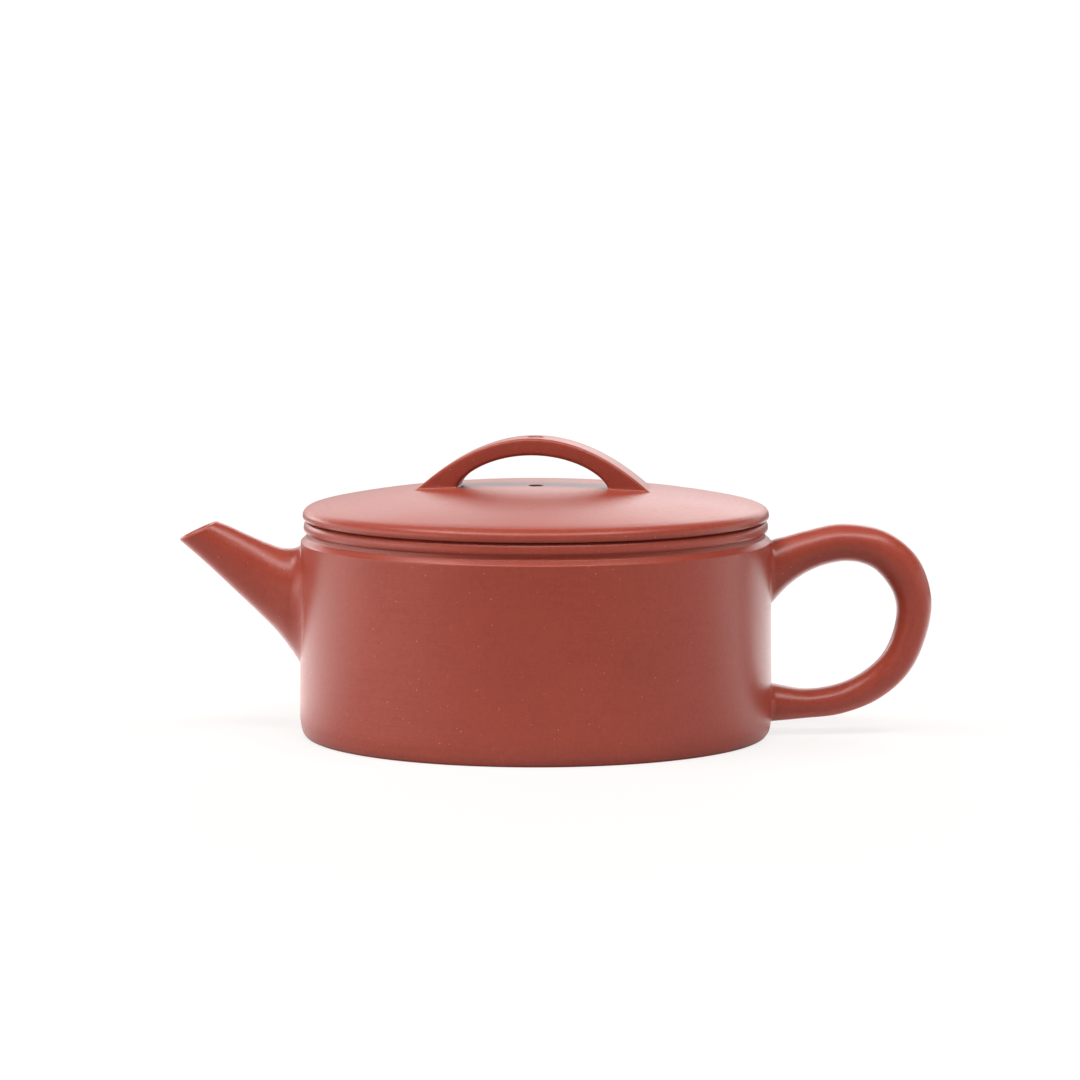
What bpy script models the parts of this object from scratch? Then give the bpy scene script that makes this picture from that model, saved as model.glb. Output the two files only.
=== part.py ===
"""A low, drum-shaped clay teapot with an overlaid flat lid and an arched bridge knob.

The pot is slab-built: each plate, ring, spout, strainer, handle and knob is a piece of clay of its own, luted to
its neighbours with slip. Each of those pieces is one object. Metres, +Z up. The origin is on the pot's axis at
its flat underside. The spout points to -X and the handle to +X.
"""

import math

import bmesh
import bpy
from mathutils import Matrix, Vector

MM = 0.001

# Joints between pieces
SLIP_GAP = 0.3 * MM  # room for slip between two luted pieces, and under the resting lid

# Pot body
BODY_RADIUS = 47.0 * MM
WALL_TOP_RADIUS = 46.7 * MM
WALL_THICKNESS = 3.0 * MM
FOOT_RADIUS = 46.1 * MM
BASE_THICKNESS = 3.5 * MM
WALL_TOP = 38.0 * MM
ARRIS_HEIGHT = 38.8 * MM  # the edge where the wall turns into the shoulder's bevel
BEVEL_RADIUS = 45.6 * MM
BEVEL_TOP = 39.75 * MM
SHOULDER_TOP = 40.4 * MM
GROOVE_RADIUS = 45.3 * MM
BEAD_RADIUS = 46.1 * MM
BEAD_TOP = 42.9 * MM
MOUTH_RADIUS = 36.0 * MM

# Spout and strainer
SPOUT_WALL = 1.3 * MM
ROUNDNESS = 2.1  # power of the ovals of the spout and the handle: 2 is an ellipse, more is squarer
STRAINER_HEIGHT = 26.0 * MM
STRAINER_RADIUS = 7.2 * MM
STRAINER_WALL = 1.2 * MM
STRAINER_COLLAR = 2.2 * MM
STRAINER_HOLE_RADIUS = 0.9 * MM
STRAINER_HOLE_RINGS = ((0, 1), (27, 6), (54, 12))  # degrees from the middle, holes in the ring

# Lid
LID_RADIUS = 46.35 * MM
LID_SEAM = 45.1 * MM  # top of the seat ring
LID_EDGE_TOP = 46.2 * MM
LID_CENTRE = 49.7 * MM
LID_DOME_RADIUS = 44.4 * MM
LID_DOME_POWER = 2.5
LID_HOLLOW_RADIUS = 33.0 * MM
LID_HOLLOW_TOP = 46.7 * MM
FLANGE_CLEARANCE = 0.6 * MM
FLANGE_THICKNESS = 2.8 * MM
FLANGE_DEPTH = 6.0 * MM
STEAM_HOLE_RADIUS = 1.4 * MM

# Bridge knob
KNOB_TURN = math.radians(-6)  # the lid lies turned a little in its seat
KNOB_OFFSET = -0.25 * MM  # along the strap, off the lid's middle
KNOB_TOP = 59.4 * MM
KNOB_UNDER = 56.0 * MM
KNOB_OUTER_HALF = 23.3 * MM
KNOB_INNER_HALF = 15.0 * MM
KNOB_HALF_WIDTH = 4.4 * MM
KNOB_EDGE = 0.6 * MM
KNOB_ARCH_POWER = 1.33

# Resolution
TURN_STEPS = 60
STRAINER_STEPS = 24
EDGE_STEPS = 3
SECTION_POINTS = 16
RINGS_PER_RIB = 3
DOME_STEPS = 7

# Clay: one colour for the pot, a slightly different tone inside
CLAY = (0.325, 0.062, 0.036)
INNER_CLAY = (0.36, 0.085, 0.052)

# Ribs of the spout, from its cut mouth to its root: upper point, lower point and half width, in mm.
SPOUT_RIBS = (
    ((-63.3, 42.5), (-70.7, 38.9), 3.6),
    ((-60.6, 41.5), (-65.8, 34.2), 3.9),
    ((-57.0, 39.9), (-60.2, 28.8), 4.6),
    ((-53.4, 38.3), (-55.2, 24.0), 5.4),
    ((-50.2, 37.2), (-51.0, 19.6), 6.6),
    ((-47.2, 37.0), (-47.2, 14.2), 8.8),
)

# Ribs of the handle, from its upper root to its lower root: outer point, inner point and half width, in mm.
HANDLE_RIBS = (
    ((47.2, 38.8), (47.2, 26.2), 5.6),
    ((53.6, 40.6), (53.2, 31.9), 4.5),
    ((61.9, 42.0), (61.2, 34.5), 4.3),
    ((69.8, 40.4), (67.0, 33.3), 4.3),
    ((76.0, 35.2), (70.5, 29.4), 4.2),
    ((78.8, 27.0), (71.7, 25.8), 4.1),
    ((77.6, 19.1), (71.1, 20.2), 4.0),
    ((74.3, 12.2), (68.8, 15.6), 3.9),
    ((68.4, 7.0), (64.5, 11.6), 3.8),
    ((60.8, 4.0), (59.3, 9.4), 3.8),
    ((53.3, 3.1), (53.3, 8.8), 4.0),
    ((47.2, 2.5), (47.2, 10.1), 5.0),
)


def clear_scene():
    for old in list(bpy.data.objects):
        bpy.data.objects.remove(old, do_unlink=True)


def new_collection(name):
    collection = bpy.data.collections.new(name)
    bpy.context.scene.collection.children.link(collection)
    return collection


def clay_material(name, colour):
    material = bpy.data.materials.new(name)
    material.use_nodes = True
    shader = material.node_tree.nodes["Principled BSDF"]
    shader.inputs["Base Color"].default_value = (*colour, 1)
    shader.inputs["Roughness"].default_value = 0.5
    shader.inputs["Metallic"].default_value = 0
    return material


def add_piece(name, mesh, collection, parent, colour=CLAY):
    """An object of its own for one piece of clay, with its own material, on the pot's or the lid's empty."""
    piece = bpy.data.objects.new(name, mesh)
    collection.objects.link(piece)
    mesh.materials.append(clay_material(name + "_clay", colour))
    piece.parent = parent
    return piece


def turned_mesh(name, outline, closed):
    """The outline's (radius, height) corners as the line that a Screw modifier turns about Z."""
    mesh = bpy.data.meshes.new(name)
    corners = [(radius, 0, height) for radius, height in outline]
    edges = [(i, i + 1) for i in range(len(corners) - 1)]
    if closed:
        edges.append((len(corners) - 1, 0))
    mesh.from_pydata(corners, edges, [])
    return mesh


def turn(piece, steps=TURN_STEPS):
    """Turns the piece's line once about Z into a solid."""
    screw = piece.modifiers.new("Turn", "SCREW")
    screw.steps = steps
    screw.render_steps = steps
    screw.use_merge_vertices = True
    screw.merge_threshold = 0.01 * MM
    screw.use_smooth_shade = True
    return piece


def turned_ring(name, outline, collection, parent):
    return turn(add_piece(name, turned_mesh(name, outline, True), collection, parent))


def turned_plate(name, outline, collection, parent):
    return turn(add_piece(name, turned_mesh(name, outline, False), collection, parent))


def round_edge(inner, outer, start, end, steps=EDGE_STEPS):
    """Points of a quarter ellipse from (inner radius, start height) to (outer radius, end height)."""
    quarter = math.pi / 2
    angles = [quarter * i / steps for i in range(steps + 1)]
    return [(inner + (outer - inner) * math.sin(a), end + (start - end) * math.cos(a)) for a in angles]


def half_round(inner, outer, top, bottom, steps=EDGE_STEPS):
    """Points of a half-round bead, from its top round the outside to its bottom."""
    middle = (top + bottom) / 2
    upper = round_edge(inner, outer, top, middle, steps)
    lower = round_edge(inner, outer, bottom, middle, steps)
    return upper + lower[-2::-1]


def make_base_plate(pot, collection):
    underside_edge = [(BODY_RADIUS - 0.1 * MM, BASE_THICKNESS * 0.6), (FOOT_RADIUS + 0.25 * MM, 0.8 * MM)]
    outline = [(0, BASE_THICKNESS), (BODY_RADIUS, BASE_THICKNESS), *underside_edge, (FOOT_RADIUS, 0), (0, 0)]
    return turned_plate("base_plate", outline, collection, pot)


def make_body_wall(pot, collection):
    bottom = BASE_THICKNESS + SLIP_GAP
    inner = BODY_RADIUS - WALL_THICKNESS
    outline = [(WALL_TOP_RADIUS, WALL_TOP), (BODY_RADIUS, bottom), (inner, bottom), (inner, WALL_TOP)]
    return turned_ring("body_wall", outline, collection, pot)


def make_shoulder_plate(pot, collection):
    bottom = WALL_TOP + SLIP_GAP
    groove = [(GROOVE_RADIUS, SHOULDER_TOP), (BEVEL_RADIUS, BEVEL_TOP)]
    ease = 0.15 * MM
    arris = [(WALL_TOP_RADIUS - ease, ARRIS_HEIGHT + ease), (WALL_TOP_RADIUS, ARRIS_HEIGHT - ease)]
    under = [(WALL_TOP_RADIUS, bottom), (MOUTH_RADIUS, bottom)]
    outline = [*groove, *arris, *under, (MOUTH_RADIUS, SHOULDER_TOP)]
    return turned_ring("shoulder_plate", outline, collection, pot)


def make_mouth_ring(pot, collection):
    bottom = SHOULDER_TOP + SLIP_GAP
    outline = [*half_round(GROOVE_RADIUS, BEAD_RADIUS, BEAD_TOP, bottom), (MOUTH_RADIUS, bottom)]
    return turned_ring("mouth_ring", [*outline, (MOUTH_RADIUS, BEAD_TOP)], collection, pot)


def spline_value(before, start, end, after, t):
    """Catmull-Rom: a smooth curve from start to end, aware of the points on both sides."""
    return 0.5 * (
        2 * start
        + (end - before) * t
        + (2 * before - 5 * start + 4 * end - after) * t * t
        + (3 * start - before - 3 * end + after) * t * t * t
    )


def smooth_ribs(ribs, rings_per_rib):
    """(upper point, lower point, half width) at more places than the ribs give, all in metres."""
    rows = [Vector((*upper, *lower)) * MM for upper, lower, _ in ribs]
    widths = [width * MM for _, _, width in ribs]
    ring_count = (len(ribs) - 1) * rings_per_rib + 1
    rings = []
    for ring in range(ring_count):
        rib = min(ring // rings_per_rib, len(ribs) - 2)
        t = ring / rings_per_rib - rib
        near = [max(rib - 1, 0), rib, rib + 1, min(rib + 2, len(ribs) - 1)]
        row = spline_value(*(rows[i] for i in near), t)
        width = spline_value(*(widths[i] for i in near), t)
        rings.append((Vector((row[0], 0, row[1])), Vector((row[2], 0, row[3])), width))
    return rings


def section(upper, lower, half_width, inset=0.0):
    """One closed ring of points: an oval between upper and lower, made smaller all round by the inset."""
    centre = (upper + lower) / 2
    along = (upper - lower) / 2
    along *= 1 - inset / along.length
    across = Vector((0, half_width - inset, 0))
    points = []
    for i in range(SECTION_POINTS):
        angle = 2 * math.pi * i / SECTION_POINTS
        rise = math.copysign(abs(math.cos(angle)) ** (2 / ROUNDNESS), math.cos(angle))
        side = math.copysign(abs(math.sin(angle)) ** (2 / ROUNDNESS), math.sin(angle))
        points.append(centre + along * rise + across * side)
    return points


def onto_wall(points):
    """The ring's points moved along X onto a cylinder just outside the body wall."""
    radius = BODY_RADIUS + SLIP_GAP
    return [Vector((math.copysign(math.sqrt(radius**2 - p.y**2), p.x), p.y, p.z)) for p in points]


def add_ring(mesh, points):
    return [mesh.verts.new(point) for point in points]


def skin(mesh, rings):
    """Quads between each ring of vertices and the next."""
    for ring, following in zip(rings, rings[1:]):
        for i in range(len(ring)):
            j = (i + 1) % len(ring)
            mesh.faces.new((ring[i], ring[j], following[j], following[i]))


def finished_mesh(name, mesh):
    bmesh.ops.recalc_face_normals(mesh, faces=mesh.faces)
    data = bpy.data.meshes.new(name)
    mesh.to_mesh(data)
    mesh.free()
    data.shade_smooth()
    data.set_sharp_from_angle(angle=math.radians(40))
    return data


def make_spout(pot, collection):
    """A hollow tapered spout: an outer skin, a bore inside it, and a strip that joins them at each end."""
    rings = smooth_ribs(SPOUT_RIBS, RINGS_PER_RIB)
    outside = [section(upper, lower, width) for upper, lower, width in rings]
    bore = [section(upper, lower, width, SPOUT_WALL) for upper, lower, width in rings]
    outside[-1] = onto_wall(outside[-1])
    bore[-1] = onto_wall(bore[-1])
    mesh = bmesh.new()
    outer_rings = [add_ring(mesh, points) for points in outside]
    bore_rings = [add_ring(mesh, points) for points in bore]
    skin(mesh, [*outer_rings, *reversed(bore_rings), outer_rings[0]])
    return add_piece("spout", finished_mesh("spout", mesh), collection, pot)


def make_handle(pot, collection):
    rings = smooth_ribs(HANDLE_RIBS, RINGS_PER_RIB)
    sections = [section(outer, inner, width) for outer, inner, width in rings]
    sections[0] = onto_wall(sections[0])
    sections[-1] = onto_wall(sections[-1])
    mesh = bmesh.new()
    skin_rings = [add_ring(mesh, points) for points in sections]
    skin(mesh, skin_rings)
    mesh.faces.new(skin_rings[0])
    mesh.faces.new(skin_rings[-1])
    return add_piece("handle", finished_mesh("handle", mesh), collection, pot)


def cut(piece, cutter):
    boolean = piece.modifiers.new("Cut " + cutter.name, "BOOLEAN")
    boolean.operation = "DIFFERENCE"
    boolean.object = cutter
    return piece


def cylinder_cutter(name, collection, radius, length, centre, direction, sides=12):
    """One cylinder that cuts a round hole along direction."""
    mesh = bmesh.new()
    add_cylinder(mesh, radius, length, centre, direction, sides)
    return add_cutter(name, mesh, collection)


def add_cylinder(mesh, radius, length, centre, direction, sides):
    turned_to = Vector((0, 0, 1)).rotation_difference(Vector(direction)).to_matrix().to_4x4()
    bmesh.ops.create_cone(
        mesh,
        cap_ends=True,
        segments=sides,
        radius1=radius,
        radius2=radius,
        depth=length,
        matrix=Matrix.Translation(centre) @ turned_to,
    )


def add_cutter(name, mesh, collection):
    data = bpy.data.meshes.new(name)
    mesh.to_mesh(data)
    mesh.free()
    cutter = bpy.data.objects.new(name, data)
    cutter.hide_render = True
    cutter.display_type = "WIRE"
    collection.objects.link(cutter)
    return cutter


def make_ball_strainer(pot, collection, cutters):
    """A pierced half ball on a short collar. It is turned about its own Z, which points into the pot."""
    inner = STRAINER_RADIUS - STRAINER_WALL
    quarter = [math.pi / 2 * i / 5 for i in range(6)]
    outside = [(STRAINER_RADIUS * math.sin(a), STRAINER_RADIUS * math.cos(a)) for a in quarter]
    inside = [(inner * math.sin(a), inner * math.cos(a)) for a in reversed(quarter)]
    collar = [(STRAINER_RADIUS, -STRAINER_COLLAR), (inner, -STRAINER_COLLAR)]
    mesh = turned_mesh("ball_strainer", [*outside, *collar, *inside], False)
    strainer = turn(add_piece("ball_strainer", mesh, collection, pot, INNER_CLAY), STRAINER_STEPS)
    strainer.location = (-(BODY_RADIUS - WALL_THICKNESS + SLIP_GAP), 0, STRAINER_HEIGHT)
    strainer.rotation_euler = (0, math.radians(90), 0)

    holes = bmesh.new()
    for tilt, count in STRAINER_HOLE_RINGS:
        for i in range(count):
            turn_about = Matrix.Rotation(2 * math.pi * i / count, 3, "Z")
            direction = turn_about @ Matrix.Rotation(math.radians(tilt), 3, "Y") @ Vector((0, 0, 1))
            middle = direction * (STRAINER_RADIUS - STRAINER_WALL / 2)
            add_cylinder(holes, STRAINER_HOLE_RADIUS, 4 * STRAINER_WALL, middle, direction, 8)
    cutter = add_cutter("strainer_holes", holes, cutters)
    cutter.location = strainer.location
    cutter.rotation_euler = strainer.rotation_euler
    return cut(strainer, cutter)


def lid_height(radius):
    """Height of the lid's upper surface: nearly flat in the middle, falling faster towards the edge."""
    return LID_EDGE_TOP + (LID_CENTRE - LID_EDGE_TOP) * (1 - (radius / LID_DOME_RADIUS) ** LID_DOME_POWER)


def make_lid_seat_ring(lid, collection):
    bottom = BEAD_TOP + SLIP_GAP
    edge_start = LID_RADIUS - 0.9 * MM
    edge = round_edge(edge_start, LID_RADIUS, bottom, bottom + 1.3 * MM)
    outline = [(LID_RADIUS - 0.05 * MM, LID_SEAM), *reversed(edge), (LID_HOLLOW_RADIUS, bottom)]
    return turned_ring("lid_seat_ring", [*outline, (LID_HOLLOW_RADIUS, LID_SEAM)], collection, lid)


def make_lid_dome(lid, collection):
    bottom = LID_SEAM + SLIP_GAP
    reach = LID_DOME_RADIUS - STEAM_HOLE_RADIUS
    radii = [STEAM_HOLE_RADIUS + reach * i / DOME_STEPS for i in range(DOME_STEPS)]
    top = [(radius, lid_height(radius)) for radius in radii]
    edge = round_edge(LID_DOME_RADIUS, LID_RADIUS - 0.1 * MM, LID_EDGE_TOP, bottom)
    fall = LID_HOLLOW_TOP - bottom
    hollow = [(LID_HOLLOW_RADIUS * share, bottom + fall * (1 - share**2)) for share in (1, 0.75, 0.5, 0.25)]
    outline = [*top, *edge, *hollow, (STEAM_HOLE_RADIUS, LID_HOLLOW_TOP)]
    return turned_ring("lid_dome", outline, collection, lid)


def make_lid_flange(lid, collection):
    outer = MOUTH_RADIUS - FLANGE_CLEARANCE
    inner = outer - FLANGE_THICKNESS
    top = BEAD_TOP
    bottom = top - FLANGE_DEPTH
    lead_in = [(outer, bottom + 0.8 * MM), (outer - 0.6 * MM, bottom)]
    return turned_ring("lid_flange", [(outer, top), *lead_in, (inner, bottom), (inner, top)], collection, lid)


def knob_outline():
    """The bridge's side view: over the arch, then back under it between the two feet."""
    steps = 16
    shares = [1 - 2 * i / steps for i in range(steps + 1)]
    outer_foot = lid_height(KNOB_OUTER_HALF) + SLIP_GAP
    inner_foot = lid_height(KNOB_INNER_HALF) + SLIP_GAP
    over = [(KNOB_OUTER_HALF * s, KNOB_TOP - (KNOB_TOP - outer_foot) * s * s) for s in shares]
    rise = KNOB_UNDER - inner_foot
    angles = [share * math.pi / 2 for share in reversed(shares)]
    under = []
    for angle in angles:
        height = inner_foot + rise * math.cos(angle) ** KNOB_ARCH_POWER
        under.append((KNOB_INNER_HALF * math.sin(angle), height))
    return over + under


def outline_curve(name, outline):
    """A flat outline in the XZ plane as a filled curve with thickness."""
    curve = bpy.data.curves.new(name, "CURVE")
    curve.dimensions = "2D"
    curve.fill_mode = "BOTH"
    curve.extrude = KNOB_HALF_WIDTH
    spline = curve.splines.new("POLY")
    spline.points.add(len(outline) - 1)
    for point, (x, z) in zip(spline.points, outline):
        point.co = (x, z, 0, 1)
    spline.use_cyclic_u = True
    return curve


def mesh_of_curve(name, curve, placed):
    """The curve's solid as a welded mesh, in the place that the matrix gives it."""
    guide = bpy.data.objects.new(name + "_guide", curve)
    bpy.context.scene.collection.objects.link(guide)
    bpy.context.view_layer.update()
    graph = bpy.context.evaluated_depsgraph_get()
    mesh = bmesh.new()
    mesh.from_mesh(bpy.data.meshes.new_from_object(guide.evaluated_get(graph)))
    bpy.data.objects.remove(guide, do_unlink=True)
    bmesh.ops.remove_doubles(mesh, verts=mesh.verts, dist=0.01 * MM)
    mesh.transform(placed)
    return finished_mesh(name, mesh)


def make_bridge_knob(lid, collection, cutters):
    """An arched strap of even width with softened edges and the steam hole down through its crown."""
    upright = Matrix.Rotation(math.radians(90), 4, "X")
    mesh = mesh_of_curve("bridge_knob", outline_curve("bridge_knob", knob_outline()), upright)
    knob = add_piece("bridge_knob", mesh, collection, lid)
    knob.location = (KNOB_OFFSET, 0, 0)
    knob.rotation_euler = (0, 0, KNOB_TURN)
    soften = knob.modifiers.new("Soft edges", "BEVEL")
    soften.width = KNOB_EDGE
    soften.segments = 2
    soften.limit_method = "ANGLE"
    soften.angle_limit = math.radians(50)
    hole = cylinder_cutter(
        "knob_steam_hole", cutters, STEAM_HOLE_RADIUS, 12 * MM, (0, 0, KNOB_UNDER), (0, 0, 1)
    )
    return cut(knob, hole)


def make_pot(pot, collection, cutters):
    make_base_plate(pot, collection)
    wall = make_body_wall(pot, collection)
    make_shoulder_plate(pot, collection)
    make_mouth_ring(pot, collection)
    make_spout(pot, collection)
    make_ball_strainer(pot, collection, cutters)
    make_handle(pot, collection)
    wall_middle = (-(BODY_RADIUS - WALL_THICKNESS / 2), 0, STRAINER_HEIGHT)
    hole_radius = STRAINER_RADIUS + SLIP_GAP
    length = 4 * WALL_THICKNESS
    hole = cylinder_cutter("strainer_seat", cutters, hole_radius, length, wall_middle, (1, 0, 0), 24)
    cut(wall, hole)


def make_lid(lid, collection, cutters):
    make_lid_seat_ring(lid, collection)
    make_lid_dome(lid, collection)
    make_lid_flange(lid, collection)
    make_bridge_knob(lid, collection, cutters)


def main():
    clear_scene()
    collection = new_collection("clay_teapot")
    cutters = new_collection("cutters")
    pot = bpy.data.objects.new("pot", None)
    lid = bpy.data.objects.new("lid", None)
    for empty in (pot, lid):
        collection.objects.link(empty)
    lid.parent = pot
    make_pot(pot, collection, cutters)
    make_lid(lid, collection, cutters)


main()
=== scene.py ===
"""Looks for a low, drum-shaped teapot of unglazed red clay: fine pieces over solids, and a plain studio.

Metres in the scene, +Z up, the pot's axis on Z and its underside on the floor. The spout points to -X and
the handle to +X. Outlines and ribs are written in millimetres and scaled when they become meshes.
"""

import math

import bmesh
import bpy
from mathutils import Matrix, Vector, noise


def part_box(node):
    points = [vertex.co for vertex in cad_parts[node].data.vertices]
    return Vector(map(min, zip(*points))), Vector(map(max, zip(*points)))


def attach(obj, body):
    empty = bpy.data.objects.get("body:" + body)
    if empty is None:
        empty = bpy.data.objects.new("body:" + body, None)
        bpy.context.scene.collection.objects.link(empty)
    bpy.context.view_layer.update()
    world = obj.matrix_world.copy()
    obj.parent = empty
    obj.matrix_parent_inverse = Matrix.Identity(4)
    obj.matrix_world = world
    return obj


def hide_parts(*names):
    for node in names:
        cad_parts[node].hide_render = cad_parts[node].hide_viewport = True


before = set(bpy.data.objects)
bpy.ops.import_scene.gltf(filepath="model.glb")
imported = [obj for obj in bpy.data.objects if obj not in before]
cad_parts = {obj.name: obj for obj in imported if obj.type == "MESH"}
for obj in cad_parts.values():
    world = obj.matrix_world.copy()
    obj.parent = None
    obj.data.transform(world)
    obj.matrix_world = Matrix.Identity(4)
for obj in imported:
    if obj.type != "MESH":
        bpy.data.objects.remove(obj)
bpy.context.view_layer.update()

MM = 0.001

# Resolution
TURN_STEPS = 256
CORNER_STEPS = 8
LONGEST_SPAN = 2.5  # mm, between two rows of a turned piece
SECTION_POINTS = 64
RINGS_PER_RIB = 14
SHARP_ANGLE = math.radians(38)

# Hand-made unevenness of every surface
UNEVEN_DEPTH = 0.04  # mm
UNEVEN_SIZE = 13.0  # mm
UNEVEN_SEED = 7  # without a fixed seed the unevenness would differ from run to run

# Pot and lid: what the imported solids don't say, in mm
ARRIS_HEIGHT = 38.8  # the edge where the wall turns into the shoulder's bevel
BEVEL_RADIUS = 45.6
BEVEL_TOP = 39.75
GROOVE_RADIUS = 45.4
GROOVE_HEIGHT = 40.6
SEAT_GAP = 0.08  # between the resting lid and the bead
TUCK = 0.3  # how far a piece runs into the next one, under the surface
ROOT_DEPTH = 1.2  # how far the spout and the handle run into the wall
LID_EDGE = 46.02  # height where the lid's top turns over into its side
LID_DOME_RADIUS = 43.5
LID_DOME_POWER = 2.5
LID_HOLLOW_TOP = 46.7
STEAM_HOLE_RADIUS = 1.4
STEAM_HOLE_RIM = 0.4

# Spout and strainer, in mm
ROUNDNESS = 2.1  # power of the ovals of the spout and the handle: 2 is an ellipse, more is squarer
SPOUT_WALL = 1.3
SPOUT_LIP = 0.11  # of the first rib's length, taken up by the rounded lip
SPOUT_FLARE = 2.4
STRAINER_WALL = 1.2
STRAINER_HOLE_RADIUS = 0.9
STRAINER_HOLE_RINGS = ((0, 1), (27, 6), (54, 12))  # degrees from the middle, holes in the ring

# Handle and bridge, in mm
HANDLE_FLARE = 1.1
BRIDGE_TURN = math.radians(-6)
BRIDGE_HALF_WIDTH = 4.4
BRIDGE_UNDER = 56.0
BRIDGE_OUTER_HALF = 23.3
BRIDGE_INNER_HALF = 15.0
BRIDGE_ARCH_POWER = 1.33
BRIDGE_CORNER = 0.8
BRIDGE_FLARE = 0.45

# Ribs of the spout, from its cut mouth to its root: upper point, lower point and half width, in mm
SPOUT_RIBS = (
    ((-63.3, 42.5), (-70.7, 38.9), 3.6),
    ((-60.6, 41.4), (-65.8, 34.5), 3.9),
    ((-57.0, 39.7), (-60.2, 29.1), 4.6),
    ((-53.4, 38.1), (-55.2, 24.2), 5.4),
    ((-50.2, 37.0), (-51.0, 19.7), 6.6),
    ((-48.6, 36.9), (-49.0, 17.0), 7.4),
    ((-46.9, 37.0), (-46.9, 13.8), 8.4),
)

# Ribs of the handle, from its upper to its lower root: outer point, inner point and half width, in mm
HANDLE_RIBS = (
    ((46.9, 38.7), (46.9, 26.0), 5.6),
    ((50.0, 39.6), (49.6, 29.2), 4.9),
    ((53.6, 40.6), (53.2, 32.0), 4.5),
    ((61.9, 42.0), (61.2, 34.6), 4.3),
    ((69.8, 40.4), (66.6, 33.5), 4.3),
    ((76.0, 35.2), (70.2, 29.9), 4.2),
    ((78.8, 27.0), (71.8, 25.5), 4.1),
    ((77.6, 19.1), (71.1, 20.2), 4.0),
    ((74.3, 12.2), (68.8, 15.6), 3.9),
    ((68.4, 7.0), (64.5, 11.9), 3.8),
    ((60.8, 4.0), (59.3, 9.7), 3.8),
    ((53.3, 3.1), (53.3, 9.0), 4.0),
    ((46.9, 2.5), (46.9, 10.1), 5.0),
)

# Studio: brightness of the room by bearing, where 0 degrees is straight behind the pot and 90 its right
ROOM_STRENGTH = 9.0
ROOM_BEARINGS = (
    (-180, 0.25),
    (-140, 1.4),
    (-110, 7.5),
    (-75, 3.4),
    (-59, 1.8),
    (-46, 3.4),
    (-36, 7.4),
    (-26, 3.2),
    (-12, 2.0),
    (-3, 2.1),
    (6, 3.3),
    (18, 3.1),
    (41, 1.1),
    (76, 2.0),
    (116, 2.2),
    (150, 0.6),
    (180, 0.25),
)
ROOM_BY_BEARING = [((bearing + 180) / 360, glow / ROOM_STRENGTH) for bearing, glow in ROOM_BEARINGS]

# Brightness of the room by height: 0 is level with the pot and 1 overhead
ROOM_BY_HEIGHT = (
    (0.0, 0.1),
    (0.1, 0.3),
    (0.2, 0.8),
    (0.33, 1.0),
    (0.46, 1.15),
    (0.53, 0.25),
    (0.62, 0.05),
    (1.0, 0.04),
)
BACK_BEARING = 0.35  # radians: within this of straight behind, the room is lit to its full height
SIDE_BEARING = 0.7  # radians: beyond this it is lit to half that height

# Soft light: its bearings in degrees, where 0 is straight in front of the pot and 90 its right
SOFTBOX_BEARINGS = range(-102, 78, 22)
SOFTBOX_HEIGHT = math.radians(61)
SOFTBOX_DISC = math.radians(16)
SOFTBOX_STRENGTH = 4.8

# How pale the floor is to reflections and bounced light, from in front of the pot (0) to behind it (1)
FLOOR_DEPTH = 1.0  # metres from the pot's axis to either end of these places
FLOOR_BY_DEPTH = (
    (0.275, 0.15),
    (0.425, 0.5),
    (0.49, 0.55),
    (0.515, 1.0),
    (0.62, 1.0),
    (0.67, 0.4),
    (0.9, 0.2),
)
FLOOR_DULL = 0.55  # brightness up to which the floor has no glow in reflections
BACK_GLOW = 0.75  # of the bright strip of floor behind the pot
FLOOR_GLOW = 0.8  # added to the floor where the camera looks at it, so that it stays white
FLOOR_HALF = 40.0  # metres

# Camera, in metres, radians and, for its lens and sensor, mm
CAMERA_PLACE = (0.00083, -1.04434, 0.15223)
CAMERA_DIP = 0.1082
CAMERA_LENS = 176.14
CAMERA_SENSOR = 36.0

# Clay
CLAY = (0.29, 0.048, 0.029)
ROUGH_CLAY = (0.32, 0.066, 0.042)
SAND = (0.72, 0.26, 0.16, 1)
PALE_GRAIN = (0.78, 0.36, 0.22, 1)
IRON_GRAIN = (0.14, 0.03, 0.02, 1)
CLOUDING = 0.14  # how far the tone strays from its mean, either way


def node_box(node):
    """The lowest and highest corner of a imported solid, in mm."""
    low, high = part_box(node)
    return low / MM, high / MM


BASE_TOP = node_box("base_plate")[1].z
FOOT_RADIUS = node_box("base_plate")[1].x - 0.9
BODY_RADIUS = node_box("body_wall")[1].x
WALL_TOP = node_box("body_wall")[1].z
SHOULDER_TOP = node_box("shoulder_plate")[1].z
BEAD_RADIUS = node_box("mouth_ring")[1].x
LID_RADIUS = node_box("lid_seat_ring")[1].x
LID_BOTTOM = node_box("lid_seat_ring")[0].z
LID_SEAM = node_box("lid_seat_ring")[1].z
LID_CENTRE = node_box("lid_dome")[1].z
FLANGE_RADIUS = node_box("lid_flange")[1].x
FLANGE_BOTTOM = node_box("lid_flange")[0].z
BRIDGE_TOP = node_box("bridge_knob")[1].z
WALL_THICKNESS = 3.0
SEAT_HEIGHT = LID_BOTTOM - 0.05
MOUTH_RADIUS = FLANGE_RADIUS + 0.6
FLANGE_THICKNESS = 2.8
LID_HOLLOW_RADIUS = 33.0


# Outlines


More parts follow.
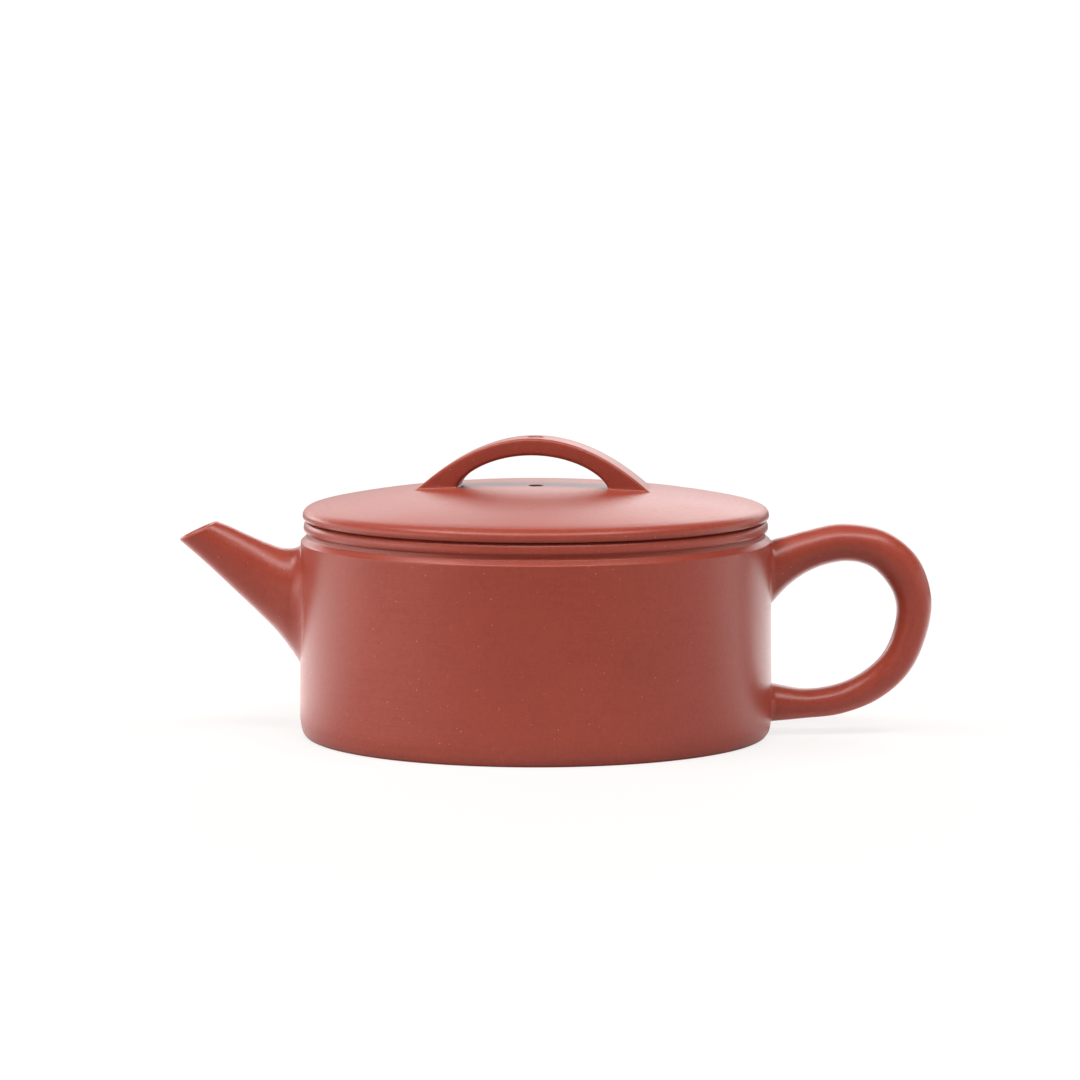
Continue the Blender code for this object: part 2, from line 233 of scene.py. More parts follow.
def rounded(corners, steps=CORNER_STEPS):
    """Points of a line through (x, y) corners. A corner that adds one or two reaches is eased over them."""
    points = []
    for i, (x, y, *reach) in enumerate(corners):
        corner = Vector((x, y))
        if not reach:
            points.append(corner)
            continue
        before = Vector(corners[i - 1][:2]) - corner
        after = Vector(corners[(i + 1) % len(corners)][:2]) - corner
        start = corner + before.normalized() * reach[0]
        end = corner + after.normalized() * reach[-1]
        for k in range(steps + 1):
            t = k / steps
            points.append(start.lerp(corner, t).lerp(corner.lerp(end, t), t))
    return points


def crossing(points, height):
    """Where a rising outline passes a height. Its ends count too, though its points are rounded."""
    for start, end in zip(points, points[1:]):
        if start.y - 1e-4 <= height <= end.y + 1e-4 and start.y < end.y:
            return start.lerp(end, (height - start.y) / (end.y - start.y))
    raise ValueError("the outline doesn't reach that height")


def between(points, low, high):
    """The part of a rising outline between two heights, cut exactly at both."""
    inside = [point for point in points if low < point.y < high]
    return [crossing(points, low), *inside, crossing(points, high)]


def pot_side():
    """The pot's whole outside from its foot to the top of the mouth bead, as one line."""
    return rounded(
        (
            (FOOT_RADIUS - 1.2, 0),
            (FOOT_RADIUS - 0.35, 0.02, 0.4),
            (FOOT_RADIUS + 0.4, 0.9, 0.6),
            (FOOT_RADIUS + 0.62, 1.8, 0.3),
            (BODY_RADIUS, 3.6, 0.9, 2.0),
            (BODY_RADIUS - 0.3, ARRIS_HEIGHT, 0.25, 0.25),
            (BEVEL_RADIUS, BEVEL_TOP, 0.12, 0.12),
            (GROOVE_RADIUS, GROOVE_HEIGHT, 0.15, 0.1),
            (BEAD_RADIUS, GROOVE_HEIGHT + 0.4, 0.4, 0.45),
            (BEAD_RADIUS, SEAT_HEIGHT - SEAT_GAP / 2 - 0.001, 1.6, 1.5),
            (GROOVE_RADIUS - 1, SEAT_HEIGHT - SEAT_GAP / 2),
        )
    )


POT_SIDE = pot_side()


def lid_side():
    """The lid's outside from under its edge to where its domed top begins, as one line."""
    return rounded(
        (
            (GROOVE_RADIUS - 1, SEAT_HEIGHT + SEAT_GAP / 2),
            (LID_RADIUS - 0.05, SEAT_HEIGHT + SEAT_GAP / 2 + 0.001, 0.7, 0.7),
            (LID_RADIUS - 0.05, LID_EDGE - 0.77, 1.3, 1.85),
            (LID_DOME_RADIUS, LID_EDGE, 0.95, 1.0),
            (LID_DOME_RADIUS - 1.2, lid_height(LID_DOME_RADIUS - 1.2)),
        )
    )


def lid_height(radius):
    """Height of the lid's upper surface: nearly flat in the middle, falling faster towards the edge."""
    return LID_EDGE + (LID_CENTRE - LID_EDGE) * (1 - (radius / LID_DOME_RADIUS) ** LID_DOME_POWER)


def divided(outline):
    """The closed outline with extra points, so that no span is longer than LONGEST_SPAN."""
    points = []
    for start, end in zip(outline, outline[1:] + outline[:1]):
        spans = math.ceil((end - start).length / LONGEST_SPAN) or 1
        points += [start.lerp(end, k / spans) for k in range(spans)]
    return points


# Meshes


def turned(outline, steps=TURN_STEPS):
    """A closed outline of (radius, height) points, turned about Z. A point on the axis is one vertex."""
    mesh = bmesh.new()
    rings = []
    for radius, height in divided(outline):
        if radius < 1e-6:
            rings.append([mesh.verts.new((0, 0, height))] * steps)
            continue
        angles = [2 * math.pi * i / steps for i in range(steps)]
        rings.append([mesh.verts.new((radius * math.cos(a), radius * math.sin(a), height)) for a in angles])
    skin(mesh, rings + rings[:1])
    return mesh


def skin(mesh, rings):
    """Faces between each ring of vertices and the next."""
    for ring, following in zip(rings, rings[1:]):
        for i in range(len(ring)):
            j = (i + 1) % len(ring)
            corners = list(dict.fromkeys((ring[i], ring[j], following[j], following[i])))
            if len(corners) > 2:
                mesh.faces.new(corners)


def lofted(rings, capped):
    """A skin over rings of points. Its two ends are closed with a face each, or joined to each other."""
    mesh = bmesh.new()
    made = [[mesh.verts.new(point) for point in ring] for ring in rings]
    if capped:
        skin(mesh, made)
        mesh.faces.new(made[0])
        mesh.faces.new(made[-1])
    else:
        skin(mesh, made + made[:1])
    bmesh.ops.recalc_face_normals(mesh, faces=mesh.faces)
    mesh.normal_update()
    return mesh


def slope_at(before, here, after):
    """How a smooth curve passes a point, per unit of its length."""
    came = here - before
    goes = after - here
    turn = came * (goes.length / came.length) + goes * (came.length / goes.length)
    return turn / (came.length + goes.length)


def rib_at(ribs, position):
    """(upper point, lower point, half width) at a place along the ribs. Whole numbers are the ribs."""
    rows = [Vector((*upper, *lower, width)) for upper, lower, width in ribs]
    rows = [2 * rows[0] - rows[1], *rows, 2 * rows[-1] - rows[-2]]
    first = min(int(position), len(ribs) - 2)
    before, start, end, after = rows[first : first + 4]
    t = position - first
    length = (end - start).length
    row = start + (end - start) * (t * t * (3 - 2 * t))
    row += slope_at(before, start, end) * length * (t * (1 - t) ** 2)
    row -= slope_at(start, end, after) * length * (t * t * (1 - t))
    return Vector((row[0], 0, row[1])), Vector((row[2], 0, row[3])), row[4]


def oval(upper, lower, half_width, inset=0.0):
    """One ring of points: an oval between upper and lower, made smaller all round by the inset."""
    centre = (upper + lower) / 2
    along = (upper - lower) / 2
    along *= 1 - inset / along.length
    across = Vector((0, half_width - inset, 0))
    points = []
    for i in range(SECTION_POINTS):
        angle = 2 * math.pi * i / SECTION_POINTS
        rise = math.copysign(abs(math.cos(angle)) ** (2 / ROUNDNESS), math.cos(angle))
        side = math.copysign(abs(math.sin(angle)) ** (2 / ROUNDNESS), math.sin(angle))
        points.append(centre + along * rise + across * side)
    return points


def pot_radius(height):
    """Radius of the pot's outside at a height."""
    return crossing(POT_SIDE, height).x


def hug_wall(points, share):
    """Moves points along X towards the pot's side, by a share of how far it falls away at their place."""
    if share > 0:
        for point in points:
            fall = BODY_RADIUS - math.sqrt(pot_radius(point.z) ** 2 - point.y**2)
            point.x -= math.copysign(fall * share, point.x)
    return points


def sink(ring):
    """Moves a root's last ring into the wall."""
    for point in ring:
        point.x -= math.copysign(ROOT_DEPTH, point.x)


def eased(share):
    """0 to 1, slow at both ends, so that rings lie closer together there."""
    return share - 0.85 * math.sin(2 * math.pi * share) / (2 * math.pi)


def rest_on(rings, node):
    """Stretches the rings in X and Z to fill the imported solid's box, with their roots kept on the wall."""
    low, high = node_box(node)
    points = [point for ring in rings for point in ring]
    far = low.x if low.x < 0 else high.x
    wall = math.copysign(BODY_RADIUS, far)
    furthest = max(abs(point.x) for point in points) - BODY_RADIUS
    bottom = min(point.z for point in points)
    top = max(point.z for point in points)
    for point in points:
        point.x = wall + (point.x - wall) * abs(far - wall) / furthest
        point.z = low.z + (point.z - bottom) * (high.z - low.z) / (top - bottom)
    return rings


def flare(verts, reach, gap, away, share):
    """Spreads the end of a piece over the surface it stands on, as luted clay does.

    gap gives a point's height over that surface, and away the direction that leaves it. share says how
    much of the reach a vertex takes by the way it faces.
    """
    for vert in verts:
        height = gap(vert.co)
        depth = min(reach - height, reach)
        if depth <= 0:
            continue
        up = away(vert.co)
        outward = (vert.normal - up * vert.normal.dot(up)).normalized()
        vert.co += outward * (reach - math.sqrt(reach**2 - depth**2)) * share(vert.normal)
        vert.co -= away(vert.co) * (gap(vert.co) - height)


def sides_and_top(normal):
    return max(normal.y**2, 0.35 * normal.z)


def sides(normal):
    return normal.y**2


def all_round(normal):
    return 1


def over_wall(point):
    distance = math.hypot(point.x, point.y)
    return distance - (pot_radius(point.z) if distance < BODY_RADIUS + SPOUT_FLARE else BODY_RADIUS)


def from_axis(point):
    return Vector((point.x, point.y, 0)).normalized()


def over_lid(point):
    return point.z - lid_height(math.hypot(point.x, point.y))


def upwards(point):
    return Vector((0, 0, 1))


def add_piece(name, mesh, body, node, slot, *materials):
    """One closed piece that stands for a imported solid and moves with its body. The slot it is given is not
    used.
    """
    noise.seed_set(UNEVEN_SEED)
    for vert in mesh.verts:
        shift = noise.noise_vector(vert.co / UNEVEN_SIZE) * UNEVEN_DEPTH
        vert.co += Vector((shift.x, shift.y, 0))
    mesh.transform(Matrix.Scale(MM, 4))
    bmesh.ops.recalc_face_normals(mesh, faces=mesh.faces)
    data = bpy.data.meshes.new(name)
    mesh.to_mesh(data)
    mesh.free()
    data.shade_smooth()
    data.set_sharp_from_angle(angle=SHARP_ANGLE)
    for material in materials:
        data.materials.append(material)
    piece = bpy.data.objects.new(name, data)
    bpy.context.scene.collection.objects.link(piece)
    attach(piece, body)
    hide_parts(node)
    return piece


def cut(piece, cutter_mesh):
    """Cuts a mesh, given in mm, out of the piece for good."""
    cutter_mesh.transform(Matrix.Scale(MM, 4))
    bmesh.ops.recalc_face_normals(cutter_mesh, faces=cutter_mesh.faces)
    data = bpy.data.meshes.new("cutter")
    cutter_mesh.to_mesh(data)
    cutter_mesh.free()
    cutter = bpy.data.objects.new("cutter", data)
    bpy.context.scene.collection.objects.link(cutter)
    boolean = piece.modifiers.new("cut", "BOOLEAN")
    boolean.operation = "DIFFERENCE"
    boolean.solver = "EXACT"
    boolean.object = cutter
    bpy.context.view_layer.update()
    evaluated = piece.evaluated_get(bpy.context.evaluated_depsgraph_get())
    result = bpy.data.meshes.new_from_object(evaluated)
    piece.modifiers.clear()
    piece.data = result
    bpy.data.objects.remove(cutter, do_unlink=True)


def inside_faces_rough(piece, is_inside):
    """Gives the piece's second material to the faces that is_inside picks by centre and normal, in mm."""
    for face in piece.data.polygons:
        face.material_index = int(is_inside(face.center / MM, face.normal))


def faces_axis(centre, normal):
    return normal.dot(from_axis(centre)) < -0.3


# The pot


def make_base(clay, rough_clay):
    side = between(POT_SIDE, 0.0, BASE_TOP)
    outline = [Vector((0, 0)), *side, Vector((0, BASE_TOP))]
    piece = add_piece("base_slab", turned(outline), "pot", "base_plate", "zisha_clay", clay, rough_clay)
    inside_faces_rough(piece, lambda centre, normal: normal.z > 0.7)


def make_wall(clay, rough_clay):
    """The rolled wall. A fillet of clay runs round its foot inside, and a hole opens into the spout."""
    inner = BODY_RADIUS - WALL_THICKNESS
    inside = rounded(
        (
            (inner + 0.5, WALL_TOP + TUCK),
            (inner, WALL_TOP),
            (inner, BASE_TOP + 1.6, 1.2),
            (inner - 1.6, BASE_TOP - TUCK),
            (BODY_RADIUS - 0.6, BASE_TOP - TUCK),
        )
    )
    side = between(POT_SIDE, BASE_TOP, WALL_TOP)
    top = Vector((BODY_RADIUS - 0.8, WALL_TOP + TUCK))
    mesh = turned([*side, top, *inside])
    piece = add_piece("drum_wall", mesh, "pot", "body_wall", "zisha_clay", clay, rough_clay)
    low, high = node_box("ball_strainer")
    centre = (low + high) / 2
    radius = high.y - 0.2
    corners = ((0, -6), (radius, -6), (radius, 6), (0, 6))
    opening = turned([Vector(corner) for corner in corners], 48)
    opening.transform(Matrix.Translation((-inner, 0, centre.z)) @ Matrix.Rotation(math.pi / 2, 4, "Y"))
    cut(piece, opening)
    inside_faces_rough(piece, faces_axis)


def make_shoulder(clay, rough_clay):
    side = between(POT_SIDE, WALL_TOP, SHOULDER_TOP)
    under = rounded(
        (
            (MOUTH_RADIUS + 0.5, SHOULDER_TOP + TUCK),
            (MOUTH_RADIUS, SHOULDER_TOP),
            (MOUTH_RADIUS, WALL_TOP, 0.8),
            (BODY_RADIUS - WALL_THICKNESS + 0.4, WALL_TOP),
        )
    )
    top = Vector((GROOVE_RADIUS - 0.8, SHOULDER_TOP + TUCK))
    mesh = turned([*side, top, *under])
    piece = add_piece("shoulder_ring", mesh, "pot", "shoulder_plate", "zisha_clay", clay, rough_clay)
    inside_faces_rough(piece, lambda centre, normal: faces_axis(centre, normal) or normal.z < -0.7)


def make_bead(clay, rough_clay):
    top = SEAT_HEIGHT - SEAT_GAP / 2
    side = between(POT_SIDE, SHOULDER_TOP, top - 0.0005)
    inside = rounded(((GROOVE_RADIUS - 1, top), (MOUTH_RADIUS, top, 0.6), (MOUTH_RADIUS, SHOULDER_TOP)))
    mesh = turned([*side, *inside[1:]])
    piece = add_piece("mouth_bead", mesh, "pot", "mouth_ring", "zisha_clay", clay, rough_clay)
    inside_faces_rough(piece, lambda centre, normal: normal.dot(from_axis(centre)) < -0.7)


def make_spout(clay, rough_clay):
    """Outer skin, rounded lip and bore in one run of rings, from the root over the lip and back again."""
    last = len(SPOUT_RIBS) - 1
    count = last * RINGS_PER_RIB
    places = [SPOUT_LIP + (last - SPOUT_LIP) * eased(i / count) for i in range(count + 1)]
    lip = [math.pi * i / 12 for i in range(1, 12)]
    run = [(place, 0.0) for place in reversed(places)]
    run += [(SPOUT_LIP * (1 - math.sin(a)), SPOUT_WALL * (1 - math.cos(a)) / 2) for a in lip]
    run += [(place, SPOUT_WALL) for place in places]
    rings = []
    for place, inset in run:
        near_root = max((place - (last - 2)) / 2, 0.0)
        points = oval(*rib_at(SPOUT_RIBS, place), inset)
        rings.append(hug_wall(points, near_root**1.5))
    rest_on(rings, "spout")
    sink(rings[0])
    sink(rings[-1])
    mesh = lofted(rings, capped=False)
    outside = list(mesh.verts)[: (count + 1) * SECTION_POINTS]
    flare(outside, SPOUT_FLARE, over_wall, from_axis, sides_and_top)
    add_piece("spout_body", mesh, "pot", "spout", "zisha_clay", clay, rough_clay)


def make_strainer(rough_clay):
    """A pierced half ball on a short collar, turned about its own Z and laid over to point into the pot."""
    low, high = node_box("ball_strainer")
    radius = (high.y - low.y) / 2
    inner = radius - STRAINER_WALL
    centre = Vector((high.x - radius, 0, (low.z + high.z) / 2))
    quarter = [math.pi / 2 * i / 14 for i in range(15)]
    outside = [Vector((radius * math.sin(a), radius * math.cos(a))) for a in quarter]
    inside = [Vector((inner * math.sin(a), inner * math.cos(a))) for a in reversed(quarter)]
    collar = [Vector((radius, low.x - centre.x)), Vector((inner, low.x - centre.x))]
    outside[0].x = 0.0
    inside[-1].x = 0.0
    mesh = turned([*outside, *collar, *inside], 72)
    placed = Matrix.Translation(centre) @ Matrix.Rotation(math.pi / 2, 4, "Y")
    mesh.transform(placed)
    piece = add_piece("strainer_ball", mesh, "pot", "ball_strainer", "zisha_interior", rough_clay)
    hole = STRAINER_HOLE_RADIUS
    corners = ((0, inner - 1), (hole, inner - 1), (hole, radius + 1), (0, radius + 1))
    for tilt, count in STRAINER_HOLE_RINGS:
        tilted = Matrix.Rotation(math.radians(tilt), 4, "Y")
        for i in range(count):
            about = Matrix.Rotation(2 * math.pi * i / count, 4, "Z") @ tilted
            pin = turned([Vector(corner) for corner in corners], 20)
            pin.transform(placed @ about)
            cut(piece, pin)


def make_handle(clay):
    """An ear-shaped loop, one oval ring after another from its upper root to its lower root."""
    last = len(HANDLE_RIBS) - 1
    count = last * RINGS_PER_RIB
    rings = []
    for i in range(count + 1):
        place = last * eased(i / count)
        near_root = max(1 - place, place - (last - 1), 0.0)
        points = oval(*rib_at(HANDLE_RIBS, place))
        rings.append(hug_wall(points, near_root**1.5))
    rest_on(rings, "handle")
    sink(rings[0])
    sink(rings[-1])
    mesh = lofted(rings, capped=True)
    flare(mesh.verts, HANDLE_FLARE, over_wall, from_axis, sides)
    add_piece("handle_loop", mesh, "pot", "handle", "zisha_clay", clay)


# The lid


def make_lid_under_plate(clay, rough_clay):
    side = between(lid_side(), LID_BOTTOM + 0.001, LID_SEAM)
    inside = [
        Vector((side[-1].x - 0.6, LID_SEAM + TUCK / 2)),
        Vector((LID_HOLLOW_RADIUS + 0.4, LID_SEAM + TUCK / 2)),
        Vector((LID_HOLLOW_RADIUS, LID_SEAM)),
        Vector((LID_HOLLOW_RADIUS, LID_BOTTOM)),
    ]
    mesh = turned([*side, *inside])
    piece = add_piece("lid_under_plate", mesh, "lid", "lid_seat_ring", "zisha_clay", clay, rough_clay)
    inside_faces_rough(piece, lambda centre, normal: faces_axis(centre, normal) or normal.z < -0.9)


def make_lid_dome(clay, rough_clay):
    side = between(lid_side(), LID_SEAM, lid_side()[-1].y)
    reach = side[-1].x - STEAM_HOLE_RADIUS - STEAM_HOLE_RIM
    radii = [side[-1].x - reach * i / 32 for i in range(1, 33)]
    top = [Vector((radius, lid_height(radius))) for radius in radii]
    hole = rounded(
        (
            top[-1][:],
            (STEAM_HOLE_RADIUS, LID_CENTRE - 0.01, STEAM_HOLE_RIM),
            (STEAM_HOLE_RADIUS, LID_HOLLOW_TOP),
        )
    )
    rise = LID_HOLLOW_TOP - LID_SEAM
    shares = [i / 12 for i in range(1, 13)]
    hollow = [Vector((LID_HOLLOW_RADIUS * s, LID_SEAM + rise * (1 - s**2))) for s in shares]
    mesh = turned([*side, *top, *hole[1:], *hollow])
    piece = add_piece("lid_upper_dome", mesh, "lid", "lid_dome", "zisha_clay", clay, rough_clay)
    inside_faces_rough(piece, lambda centre, normal: normal.z < -0.5)


def make_lid_locating_ring(rough_clay):
    inner = FLANGE_RADIUS - FLANGE_THICKNESS
    outline = rounded(
        (
            (inner, LID_BOTTOM + TUCK),
            (inner, FLANGE_BOTTOM, 0.7),
            (FLANGE_RADIUS, FLANGE_BOTTOM, 0.9),
            (FLANGE_RADIUS, LID_BOTTOM - 0.4, 0.3),
            (FLANGE_RADIUS + 0.35, LID_BOTTOM),
            (FLANGE_RADIUS + 0.35, LID_BOTTOM + TUCK),
        )
    )
    add_piece("lid_locating_ring", turned(outline), "lid", "lid_flange", "zisha_interior", rough_clay)


def make_bridge(clay):
    """An arched strap with flat faces and eased corners. The steam hole runs down through its crown."""
    foot = {half: lid_height(half) for half in (BRIDGE_OUTER_HALF, BRIDGE_INNER_HALF)}
    steps = 110
    rings = []
    for i in range(steps + 1):
        share = math.sin(math.pi / 2 * (1 - 2 * i / steps))
        outer_z = BRIDGE_TOP - (BRIDGE_TOP - foot[BRIDGE_OUTER_HALF]) * share**2
        turn = share * math.pi / 2
        rise = (BRIDGE_UNDER - foot[BRIDGE_INNER_HALF]) * abs(math.cos(turn)) ** BRIDGE_ARCH_POWER
        outer = Vector((BRIDGE_OUTER_HALF * share, 0, outer_z))
        inner = Vector((BRIDGE_INNER_HALF * math.sin(turn), 0, foot[BRIDGE_INNER_HALF] + rise))
        rings.append(strap_section(outer, inner))
    for ring in (rings[0], rings[-1]):
        for point in ring:
            point.z -= TUCK
    mesh = lofted(rings, capped=True)
    flare(mesh.verts, BRIDGE_FLARE, over_lid, upwards, all_round)
    low, high = node_box("bridge_knob")
    placed = Matrix.Translation(((low.x + high.x) / 2, 0, 0)) @ Matrix.Rotation(BRIDGE_TURN, 4, "Z")
    mesh.transform(placed)
    piece = add_piece("bridge_strap", mesh, "lid", "bridge_knob", "zisha_clay", clay)
    wide = STEAM_HOLE_RADIUS + STEAM_HOLE_RIM
    corners = (
        (0, BRIDGE_UNDER - 2),
        (wide, BRIDGE_UNDER - 2),
        (wide, BRIDGE_UNDER),
        (STEAM_HOLE_RADIUS, BRIDGE_UNDER + 0.4, 0.3),
        (STEAM_HOLE_RADIUS, BRIDGE_TOP - 0.6, 0.3),
        (wide, BRIDGE_TOP, 0.2),
        (wide + 0.3, BRIDGE_TOP + 1),
        (0, BRIDGE_TOP + 1),
    )
    cut(piece, turned(rounded(corners, 4), 48))


def strap_section(outer, inner):
    """One ring of the strap: a rectangle with eased corners between its outer and its inner line."""
    centre = (outer + inner) / 2
    along = (outer - inner).normalized()
    half = (outer - inner).length / 2
    ease = BRIDGE_CORNER
    corners = [
        (side * BRIDGE_HALF_WIDTH, rise * half, ease) for side, rise in ((1, 1), (-1, 1), (-1, -1), (1, -1))
    ]
    return [centre + along * point.y + Vector((0, point.x, 0)) for point in rounded(corners, 6)]


# Clay


def add_node(tree, kind, inputs=None, **settings):
    """A shader node with its settings made and its inputs set, or linked where a socket is given."""
    node = tree.nodes.new("ShaderNode" + kind)
    for name, value in settings.items():
        setattr(node, name, value)
    for name, value in (inputs or {}).items():
        if isinstance(value, bpy.types.NodeSocket):
            tree.links.new(value, node.inputs[name])
        else:
            node.inputs[name].default_value = value
    return node


def calculated(tree, operation, *values):
    return add_node(tree, "Math", dict(enumerate(values)), operation=operation).outputs[0]


def weighted_sum(tree, *parts):
    total = 0.0
    for value, weight in parts:
        total = calculated(tree, "MULTIPLY_ADD", value, weight, total)
    return total


def noise_value(tree, place, scale, detail, **settings):
    inputs = {"Vector": place, "Scale": scale, "Detail": detail}
    return add_node(tree, "TexNoise", inputs, **settings).outputs["Fac"]


def mapped(tree, value, low, high, to_low, to_high):
    inputs = {"Value": value, "From Min": low, "From Max": high, "To Min": to_low, "To Max": to_high}
    return add_node(tree, "MapRange", inputs).outputs[0]


def mixed_colour(tree, share, first, second):
    node = add_node(tree, "Mix", data_type="RGBA")
    for socket, value in ((node.inputs[0], share), (node.inputs[6], first), (node.inputs[7], second)):
        if isinstance(value, bpy.types.NodeSocket):
            tree.links.new(value, socket)
        else:
            socket.default_value = value
    return node.outputs[2]


def specks(tree, place, per_mm, radius, share):
    """Up to 1 inside scattered round grains of a radius in mm, some fainter than others.

    There are per_mm cells to the millimetre, and share of them hold a grain.
    """
    cells = add_node(tree, "TexVoronoi", {"Vector": place, "Scale": per_mm})
    size = radius * per_mm
    grain = mapped(tree, cells.outputs["Distance"], size * 0.5, size * 1.3, 1, 0)
    drawn = add_node(tree, "SeparateColor", {0: cells.outputs["Color"]}).outputs[0]
    return calculated(tree, "MULTIPLY", grain, mapped(tree, drawn, 0, share, 1, 0))


def tooling(tree, place):
    """Noise drawn out round the axis, as turning and scraping mark clay, and the value that drives its W.

    It makes level lines on a wall and rings on a lid.
    """
    parts = add_node(tree, "SeparateXYZ", {0: place}).outputs
    square = [calculated(tree, "POWER", part, 2.0) for part in parts[:2]]
    radius = calculated(tree, "SQRT", calculated(tree, "ADD", *square))
    fine = [calculated(tree, "MULTIPLY", value, 2.1) for value in (radius, parts[2])]
    slow = [calculated(tree, "MULTIPLY", value, 0.07) for value in parts[:2]]
    drawn = add_node(tree, "CombineXYZ", {0: fine[0], 1: slow[0], 2: fine[1]}).outputs[0]
    return noise_value(tree, drawn, 1.0, 3.0, noise_dimensions="4D"), slow[1]


def clay_material(name, tone, roughness, depth, is_turned):
    """Unglazed clay: clouded tone, fine sandy grain, scattered pale and dark specks, and a soft burnish.

    tone is the mean colour, roughness the least and the most, and depth the height of its grain in mm.
    """
    material = bpy.data.materials.new(name)
    material.use_nodes = True
    tree = material.node_tree
    shader = tree.nodes["Principled BSDF"]
    shader.inputs["Specular IOR Level"].default_value = 0.3
    coordinates = add_node(tree, "TexCoord").outputs["Object"]
    place = add_node(tree, "VectorMath", {0: coordinates, "Scale": 1 / MM}, operation="SCALE").outputs[0]

    cloud = noise_value(tree, place, 0.06, 3.0)
    mottle = noise_value(tree, place, 0.9, 3.0)
    grain = noise_value(tree, place, 2.4, 4.0)
    marks = noise_value(tree, place, 0.5, 2.0)
    if is_turned:
        marks, slow = tooling(tree, place)
        tree.links.new(slow, marks.node.inputs["W"])
    uneven = weighted_sum(tree, (cloud, 0.25), (mottle, 0.3), (grain, 0.3), (marks, 0.15))
    share = mapped(tree, uneven, 0.34, 0.66, 0, 1)
    dark = (*(part * (1 - CLOUDING) for part in tone), 1)
    light = (*(part * (1 + CLOUDING) for part in tone), 1)
    colour = mixed_colour(tree, share, dark, light)

    pale = specks(tree, place, 0.7, 0.11, 0.9)
    sand = specks(tree, place, 2.0, 0.06, 0.8)
    iron = specks(tree, place, 0.8, 0.1, 0.6)
    for grains, strength, hue in ((sand, 0.3, SAND), (pale, 0.55, PALE_GRAIN), (iron, 0.6, IRON_GRAIN)):
        colour = mixed_colour(tree, calculated(tree, "MULTIPLY", grains, strength), colour, hue)
    tree.links.new(colour, shader.inputs["Base Color"])

    polish = weighted_sum(tree, (cloud, 0.3), (mottle, 0.4), (marks, 0.3))
    tree.links.new(mapped(tree, polish, 0.35, 0.65, *roughness), shader.inputs["Roughness"])

    height = weighted_sum(tree, (grain, 1.0), (mottle, 0.6), (marks, 0.5), (pale, 0.5), (iron, -0.6))
    bump = add_node(tree, "Bump", {"Height": height, "Distance": depth * MM, "Strength": 1.0})
    tree.links.new(bump.outputs[0], shader.inputs["Normal"])
    return material


def make_teapot():
    turned_clay = clay_material("zisha_turned", CLAY, (0.3, 0.37), 0.025, True)
    modelled_clay = clay_material("zisha_modelled", CLAY, (0.28, 0.36), 0.02, False)
    rough_clay = clay_material("zisha_unpolished", ROUGH_CLAY, (0.66, 0.82), 0.06, True)
    make_base(turned_clay, rough_clay)
    make_wall(turned_clay, rough_clay)
    make_shoulder(turned_clay, rough_clay)
    make_bead(turned_clay, rough_clay)
    make_spout(modelled_clay, rough_clay)
    make_strainer(rough_clay)
    make_handle(modelled_clay)
    make_lid_under_plate(turned_clay, rough_clay)
    make_lid_dome(turned_clay, rough_clay)
    make_lid_locating_ring(rough_clay)
    make_bridge(modelled_clay)


# Studio


def ramp(tree, value, stops):
    """A value read off a line through (position, brightness) stops."""
    node = add_node(tree, "ValToRGB", {0: value})
    points = node.color_ramp.elements
    for _ in stops[2:]:
        points.new(0.5)
    for point, (position, brightness) in zip(points, stops):
        point.position = position
        point.color = (brightness, brightness, brightness, 1)
    return node.outputs[0]


def make_world():
    """A studio that is brightest low down behind and to the left, and dim in front and overhead.

    Only its light and reflections show this: the camera itself sees plain white.
    """
    world = bpy.data.worlds.new("white_room")
    bpy.context.scene.world = world
    world.use_nodes = True
    tree = world.node_tree
    direction = add_node(tree, "TexCoord").outputs["Generated"]
    parts = add_node(tree, "SeparateXYZ", {0: direction}).outputs
    bearing = calculated(tree, "ARCTAN2", parts[0], parts[1])
    round_room = ramp(tree, mapped(tree, bearing, -math.pi, math.pi, 0, 1), ROOM_BY_BEARING)
    aside = calculated(tree, "ABSOLUTE", bearing)
    lower_aside = mapped(tree, aside, BACK_BEARING, SIDE_BEARING, 1, 2)
    height = ramp(tree, calculated(tree, "MULTIPLY", parts[2], lower_aside), ROOM_BY_HEIGHT)
    strength = calculated(tree, "MULTIPLY", round_room, height)
    room = tree.nodes["Background"]
    room.inputs["Color"].default_value = (1, 1, 1, 1)
    tree.links.new(calculated(tree, "MULTIPLY", strength, ROOM_STRENGTH), room.inputs["Strength"])
    plain = add_node(tree, "Background", {"Color": (1, 1, 1, 1), "Strength": 1.0})
    seen = add_node(tree, "LightPath").outputs["Is Camera Ray"]
    mix = add_node(tree, "MixShader", {0: seen})
    tree.links.new(room.outputs[0], mix.inputs[1])
    tree.links.new(plain.outputs[0], mix.inputs[2])
    tree.links.new(mix.outputs[0], tree.nodes["World Output"].inputs["Surface"])


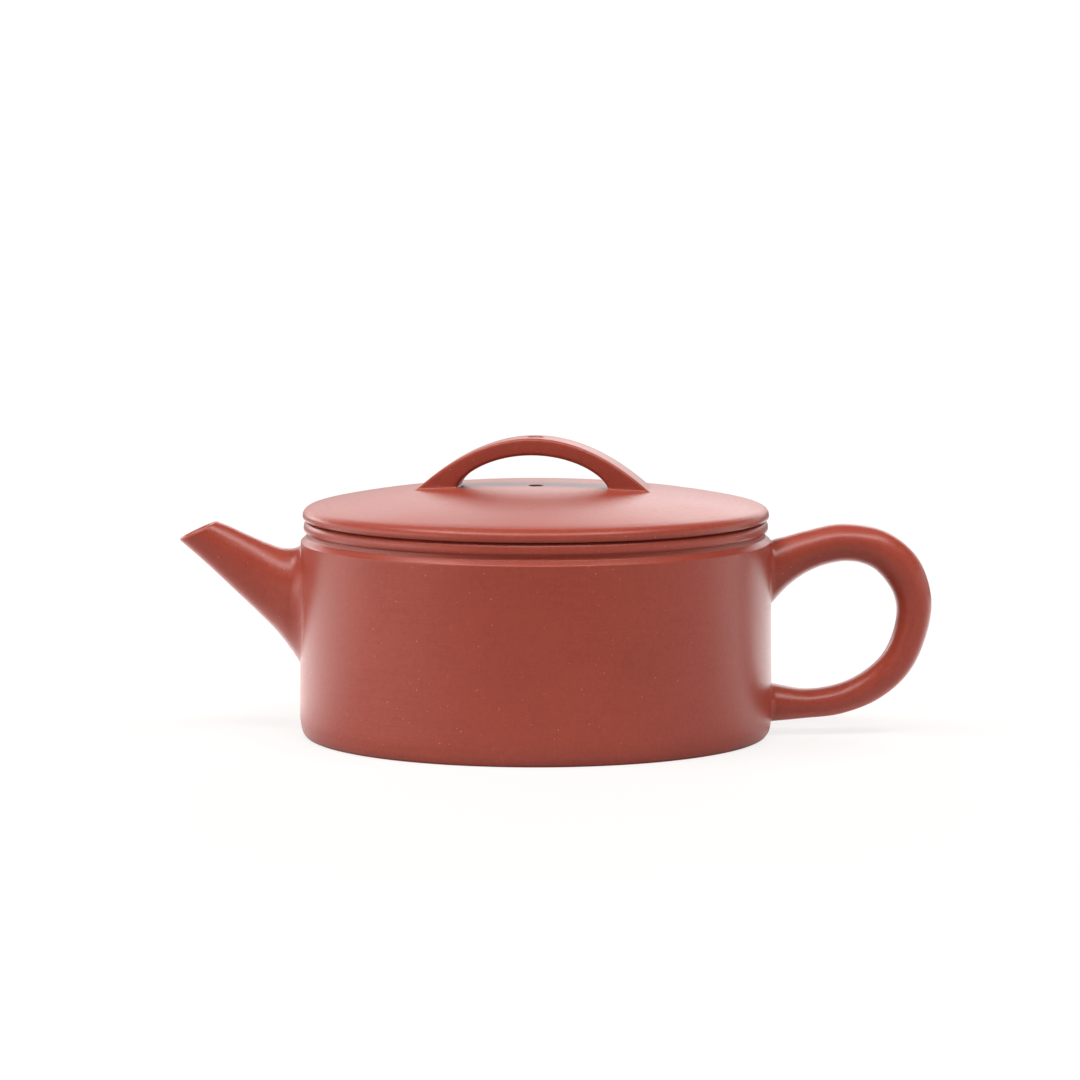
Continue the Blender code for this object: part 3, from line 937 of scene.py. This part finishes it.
def make_softbox():
    """A wide soft light, high in front of the pot, as a row of overlapping discs."""
    for bearing in SOFTBOX_BEARINGS:
        light = bpy.data.lights.new("softbox", "SUN")
        light.energy = SOFTBOX_STRENGTH / len(SOFTBOX_BEARINGS)
        light.angle = SOFTBOX_DISC
        lamp = bpy.data.objects.new("softbox", light)
        flat = Vector((math.sin(math.radians(bearing)), -math.cos(math.radians(bearing)), 0))
        towards = flat * math.cos(SOFTBOX_HEIGHT) + Vector((0, 0, math.sin(SOFTBOX_HEIGHT)))
        lamp.rotation_euler = towards.to_track_quat("Z", "Y").to_euler()
        bpy.context.scene.collection.objects.link(lamp)


def make_floor():
    """A pale floor. In reflections it has a bright strip behind the pot and darkens away from it."""
    half = FLOOR_HALF
    corners = [(-half, -half, 0), (half, -half, 0), (half, half, 0), (-half, half, 0)]
    data = bpy.data.meshes.new("floor")
    data.from_pydata(corners, [], [(0, 1, 2, 3)])
    material = bpy.data.materials.new("floor")
    material.use_nodes = True
    tree = material.node_tree
    shader = tree.nodes["Principled BSDF"]
    shader.inputs["Roughness"].default_value = 0.9
    shader.inputs["Specular IOR Level"].default_value = 0.1
    shader.inputs["Emission Color"].default_value = (1, 0.985, 0.975, 1)
    seen = add_node(tree, "LightPath").outputs["Is Camera Ray"]
    place = add_node(tree, "TexCoord").outputs["Object"]
    depth = add_node(tree, "SeparateXYZ", {0: place}).outputs[1]
    brightness = ramp(tree, mapped(tree, depth, -FLOOR_DEPTH, FLOOR_DEPTH, 0, 1), FLOOR_BY_DEPTH)
    colour = mixed_colour(tree, seen, brightness, (0.13, 0.125, 0.12, 1))
    tree.links.new(colour, shader.inputs["Base Color"])
    unseen = calculated(tree, "SUBTRACT", 1.0, seen)
    lit = calculated(tree, "MULTIPLY", unseen, mapped(tree, brightness, FLOOR_DULL, 1, 0, BACK_GLOW))
    glow = calculated(tree, "MULTIPLY_ADD", seen, FLOOR_GLOW, lit)
    tree.links.new(glow, shader.inputs["Emission Strength"])
    data.materials.append(material)
    floor = bpy.data.objects.new("floor", data)
    bpy.context.scene.collection.objects.link(floor)


def make_camera():
    data = bpy.data.cameras.new("camera")
    data.sensor_width = CAMERA_SENSOR
    data.lens = CAMERA_LENS
    data.clip_end = 200.0
    camera = bpy.data.objects.new("camera", data)
    camera.location = CAMERA_PLACE
    camera.rotation_euler = (math.pi / 2 - CAMERA_DIP, 0, 0)
    bpy.context.scene.collection.objects.link(camera)
    bpy.context.scene.camera = camera


make_camera()
make_teapot()
make_world()
make_softbox()
make_floor()
bpy.context.scene.view_settings.view_transform = "Standard"
